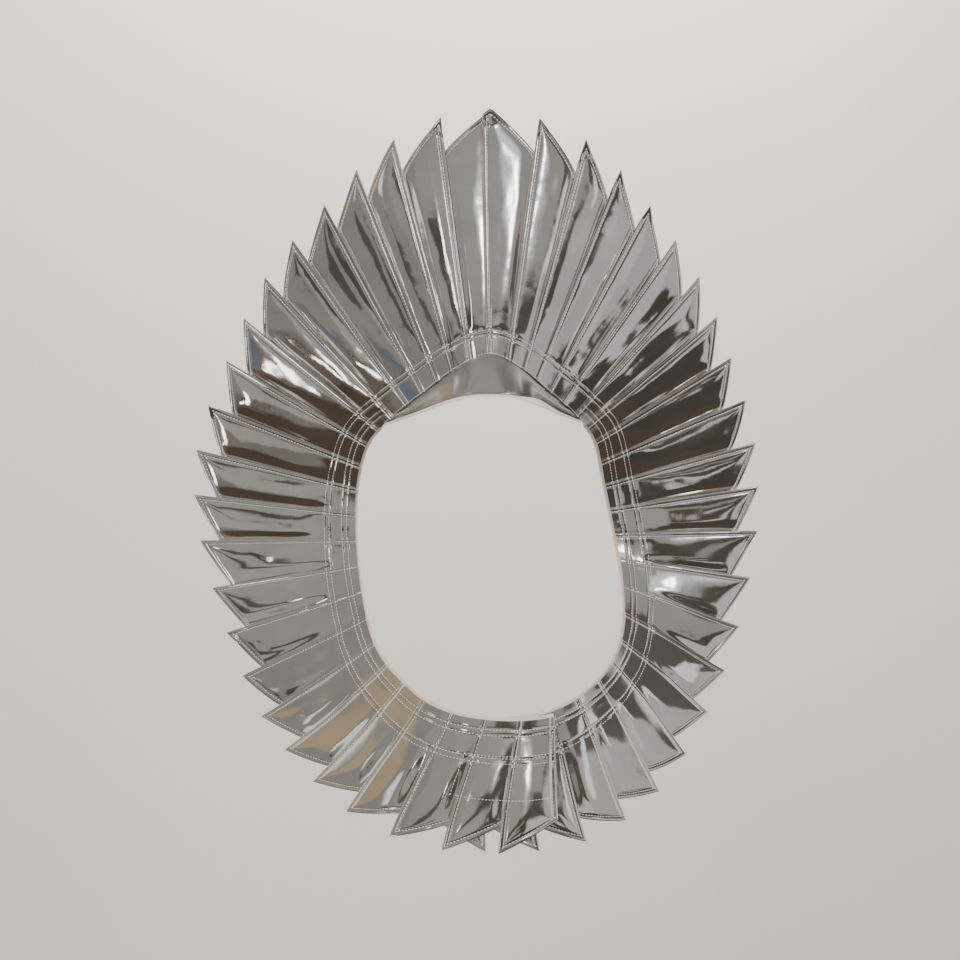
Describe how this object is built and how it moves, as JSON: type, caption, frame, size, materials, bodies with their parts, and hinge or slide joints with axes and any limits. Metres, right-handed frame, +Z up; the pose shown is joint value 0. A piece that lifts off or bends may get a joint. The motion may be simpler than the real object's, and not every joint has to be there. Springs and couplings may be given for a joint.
{
  "type": "costume wing collar",
  "caption": "Shrug-like stage collar of silver mirror vinyl: overlapping pointed blades stand out all round a loop worn over the nape, shoulders and lower back.",
  "frame": {"origin": "middle of the neck stand's raw lower edge, where the collar sits on the nape", "axes": "+Z up, +Y the way the wearer faces, +X the wearer's right"},
  "size_m": [0.627, 0.1836, 0.7267],
  "materials": {
    "blade_vinyl": "silver mirror-finish metallised vinyl, slightly dented and rippled",
    "band_vinyl": "silver mirror vinyl outside, pale lilac-beige cloth backing at the raw edge",
    "stand_vinyl": "smooth silver mirror vinyl with a raw beige lower edge",
    "hook_and_loop": "pale grey hook-and-loop tape, matt"
  },
  "bodies": {
    "root": {"blade_left_00": "blade_vinyl", "blade_left_01": "blade_vinyl", "blade_left_02": "blade_vinyl", "blade_left_03": "blade_vinyl", "blade_left_04": "blade_vinyl", "blade_left_05": "blade_vinyl", "blade_left_06": "blade_vinyl", "blade_left_07": "blade_vinyl", "blade_left_08": "blade_vinyl", "blade_left_09": "blade_vinyl", "blade_left_10": "blade_vinyl", "blade_left_11": "blade_vinyl", "blade_left_12": "blade_vinyl", "blade_left_13": "blade_vinyl", "blade_left_14": "blade_vinyl", "blade_left_15": "blade_vinyl", "blade_left_16": "blade_vinyl", "blade_left_17": "blade_vinyl", "blade_left_18": "blade_vinyl", "blade_left_19": "blade_vinyl", "blade_left_20": "blade_vinyl", "blade_left_21": "blade_vinyl", "blade_left_22": "blade_vinyl", "blade_right_00": "blade_vinyl", "blade_right_01": "blade_vinyl", "blade_right_02": "blade_vinyl", "blade_right_03": "blade_vinyl", "blade_right_04": "blade_vinyl", "blade_right_05": "blade_vinyl", "blade_right_06": "blade_vinyl", "blade_right_07": "blade_vinyl", "blade_right_08": "blade_vinyl", "blade_right_09": "blade_vinyl", "blade_right_10": "blade_vinyl", "blade_right_11": "blade_vinyl", "blade_right_12": "blade_vinyl", "blade_right_13": "blade_vinyl", "blade_right_14": "blade_vinyl", "blade_right_15": "blade_vinyl", "blade_right_16": "blade_vinyl", "blade_right_17": "blade_vinyl", "blade_right_18": "blade_vinyl", "blade_right_19": "blade_vinyl", "blade_right_20": "blade_vinyl", "blade_right_21": "blade_vinyl", "blade_right_22": "blade_vinyl", "root_band_left": "band_vinyl", "root_band_right": "band_vinyl", "neck_stand": "stand_vinyl", "closure_tape": "hook_and_loop"}
  },
  "joints": []
}
